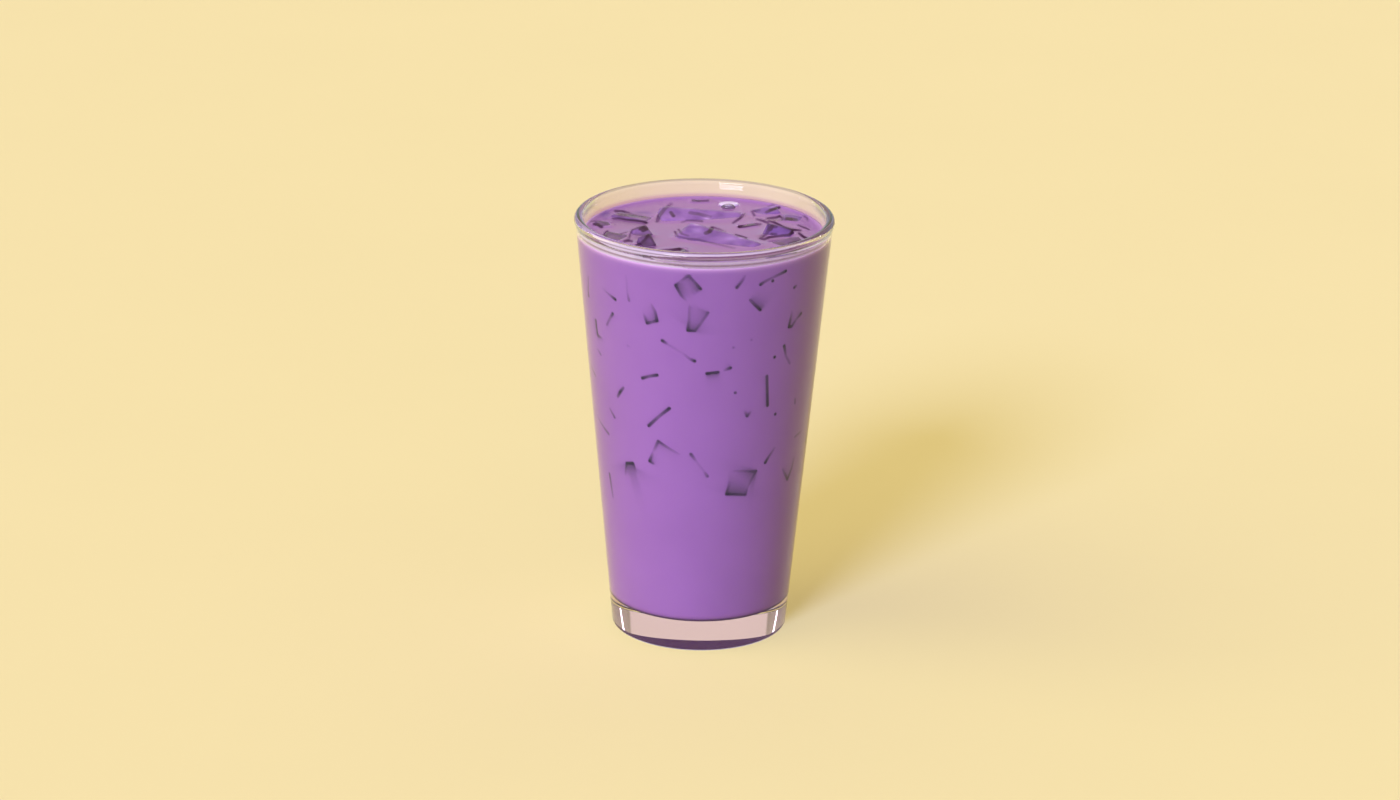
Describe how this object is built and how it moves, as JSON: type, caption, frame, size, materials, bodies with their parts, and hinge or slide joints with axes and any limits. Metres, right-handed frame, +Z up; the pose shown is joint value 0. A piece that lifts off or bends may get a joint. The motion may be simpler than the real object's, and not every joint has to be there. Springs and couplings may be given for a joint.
{
  "type": "iced ube latte",
  "caption": "Purple iced ube latte filled nearly to the rim of a clear, straight-sided mixing glass that widens upwards, with melting ice breaking its surface.",
  "frame": {"origin": "middle of the flat underside of the glass, where it stands", "axes": "+Z up through the middle of the glass to its mouth, -Y towards the front, +X to the right seen from the front"},
  "size_m": [0.0888, 0.0888, 0.1482],
  "materials": {
    "glass": "clear smooth pressed soda-lime glass",
    "latte": "opaque milky purple liquid with a wet sheen on top",
    "ice": "wet melting ice, clear with a lilac cast from the milk on it"
  },
  "bodies": {
    "root": {"glass": "glass", "latte": "latte", "ice_front_slab": "ice", "ice_back_slab": "ice", "ice_back_wall_chip": "ice", "ice_left_back_slab": "ice", "ice_left_wall_chip": "ice", "ice_left_front_block": "ice", "ice_left_middle_corner": "ice", "ice_left_front_peak": "ice", "ice_front_sliver": "ice", "ice_middle_sliver": "ice", "ice_right_back_block": "ice", "ice_right_wall_slab": "ice", "ice_right_wedge": "ice", "ice_right_front_block": "ice"}
  },
  "joints": []
}
